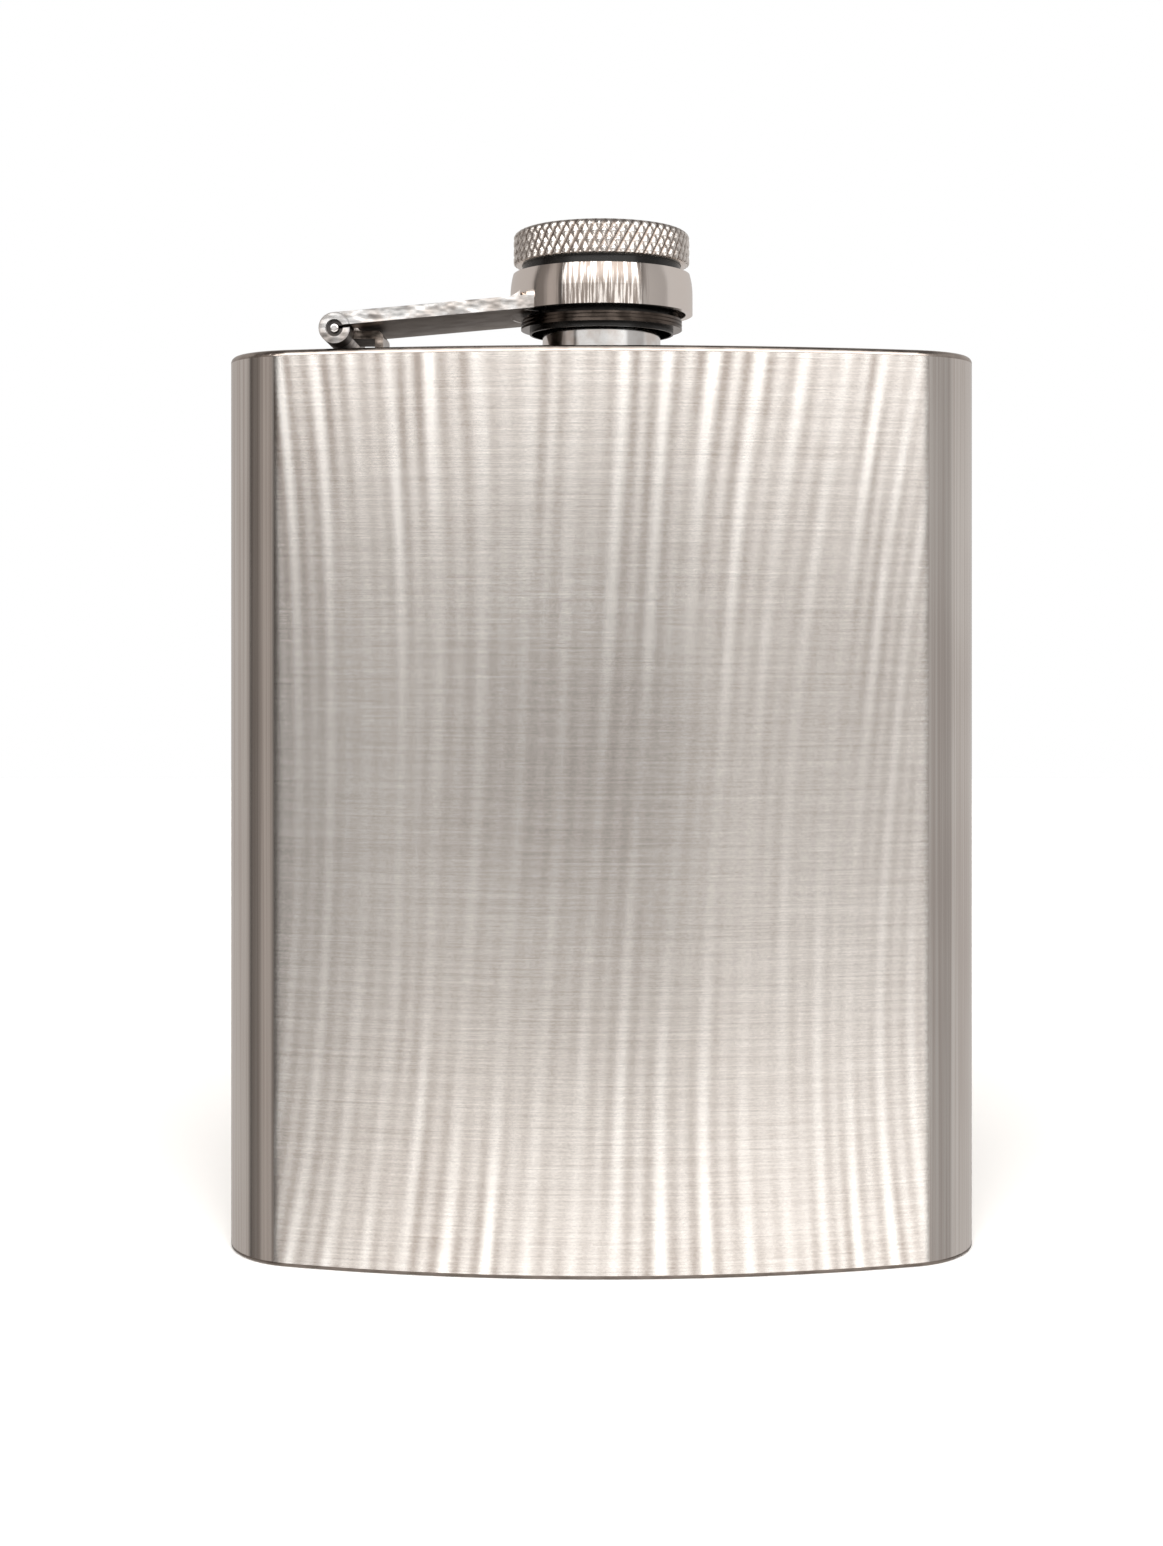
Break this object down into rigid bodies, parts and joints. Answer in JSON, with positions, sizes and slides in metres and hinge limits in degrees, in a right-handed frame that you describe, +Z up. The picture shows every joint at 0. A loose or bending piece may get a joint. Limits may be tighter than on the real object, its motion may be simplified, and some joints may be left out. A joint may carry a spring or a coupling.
{
  "type": "hip flask",
  "caption": "Curved stainless steel hip flask with a brushed body and a knurled screw cap held captive on a hinged side arm.",
  "frame": {"origin": "middle of the flask's footprint, on the surface it stands on", "axes": "+Z up along the neck, +X to the right seen from the bulging front, -Y out of the bulging front face"},
  "size_m": [0.094, 0.0266, 0.1276],
  "materials": {
    "brushed_body": "fine horizontal brushing",
    "polished_plate": "satin",
    "polished_turned": "polished",
    "polished_hinge": "polished, light scratches",
    "polished_collar": "mirror polished",
    "knurled_head": "diamond knurl, satin",
    "black_plastic": "moulded, glossy",
    "spring_steel": "plain",
    "gasket_rubber": "matt silicone"
  },
  "bodies": {
    "flask": {"body_wall": "brushed_body", "top_plate": "polished_plate", "bottom_plate": "brushed_body", "neck": "polished_turned", "hinge_bracket": "polished_hinge", "hinge_pin": "polished_hinge"},
    "arm": {"hinge_arm": "polished_hinge", "swivel_collar": "polished_collar"},
    "cap": {"cap_head": "knurled_head", "cap_core": "black_plastic", "cap_end_ring": "polished_turned", "retaining_ring": "spring_steel", "cap_gasket": "gasket_rubber"}
  },
  "joints": [
    {"name": "arm_hinge", "type": "hinge", "parent": "flask", "child": "arm", "pos_m": [-0.0325, -0.0015, 0.11465], "axis": [0, -1, 0], "range_deg": [0, 165]},
    {"name": "cap_spin", "type": "hinge", "parent": "arm", "child": "cap", "pos_m": [0, -0.00189, 0.1222], "axis": [0, 0, 1], "continuous": true}
  ]
}
